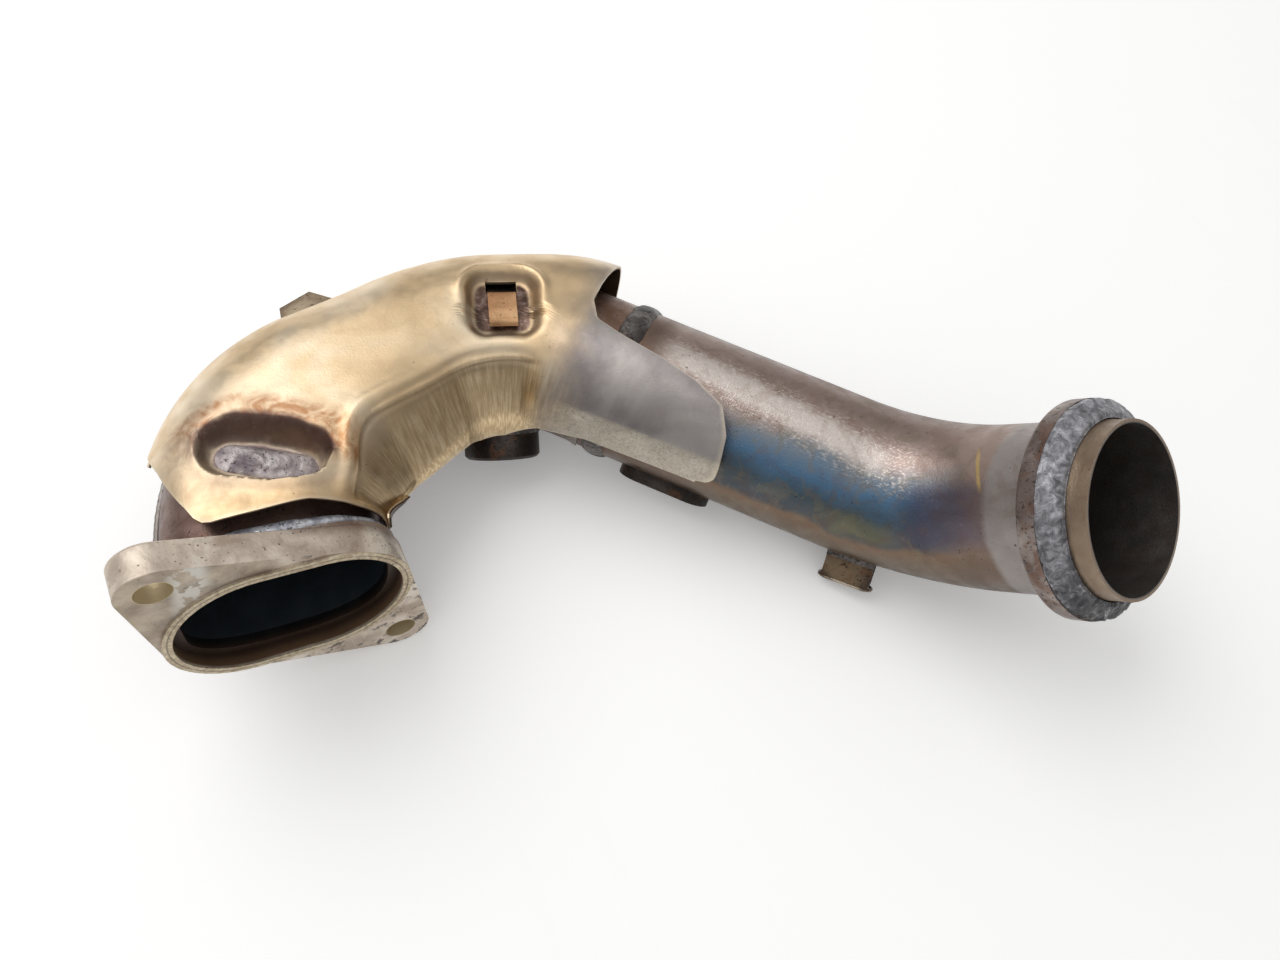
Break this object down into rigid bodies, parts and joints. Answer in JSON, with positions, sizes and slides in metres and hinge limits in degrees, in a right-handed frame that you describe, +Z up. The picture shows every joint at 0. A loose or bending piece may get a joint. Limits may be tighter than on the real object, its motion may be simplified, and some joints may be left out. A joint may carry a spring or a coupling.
{
  "type": "motorcycle exhaust header",
  "caption": "Short bent exhaust header with a bolted port flange, a pressed heat shield over its elbow, a clip bracket and a gasketed round outlet.",
  "frame": {"origin": "centre of the port, midway between the bolt holes, in the plane of the ears' faces", "axes": "+Z up as the header lies on a table, +Y about along the gas flow into the elbow, +X from the port towards the outlet"},
  "size_m": [0.2963, 0.2148, 0.0993],
  "materials": {
    "cast_flange": "cast, grimy, machined lip",
    "weld_bead": "rippled bead, heat-tinted",
    "elbow_steel": "pressed sheet, brown heat tint",
    "seam_bead": "flat seam bead",
    "tube_steel": "drawn tube, brown and blue heat tint",
    "collar_steel": "turned ring, brown heat tint",
    "gasket_graphite": "worn graphite with bright wire flakes",
    "shield_steel": "pressed stainless sheet, gold heat tint",
    "plug_bead": "swirled plug weld",
    "strip_copper": "copper-coloured strip",
    "boss_steel": "turned steel, dark",
    "bracket_steel": "folded sheet, brass-brown tint",
    "spring_steel": "drawn wire"
  },
  "bodies": {
    "root": {"port_flange": "cast_flange", "flange_weld": "weld_bead", "elbow_upper_half": "elbow_steel", "elbow_lower_half": "elbow_steel", "elbow_outer_seam_weld": "seam_bead", "elbow_inner_seam_weld": "seam_bead", "tube_weld": "weld_bead", "main_tube": "tube_steel", "outlet_collar": "collar_steel", "outlet_gasket": "gasket_graphite", "heat_shield": "shield_steel", "shield_plug_weld": "plug_bead", "shield_strip": "strip_copper", "rear_lug": "shield_steel", "sensor_boss": "boss_steel", "sensor_boss_weld": "weld_bead", "tube_pad": "boss_steel", "clip_bracket": "bracket_steel", "clip_weld": "weld_bead", "spring_clip": "spring_steel"}
  },
  "joints": []
}
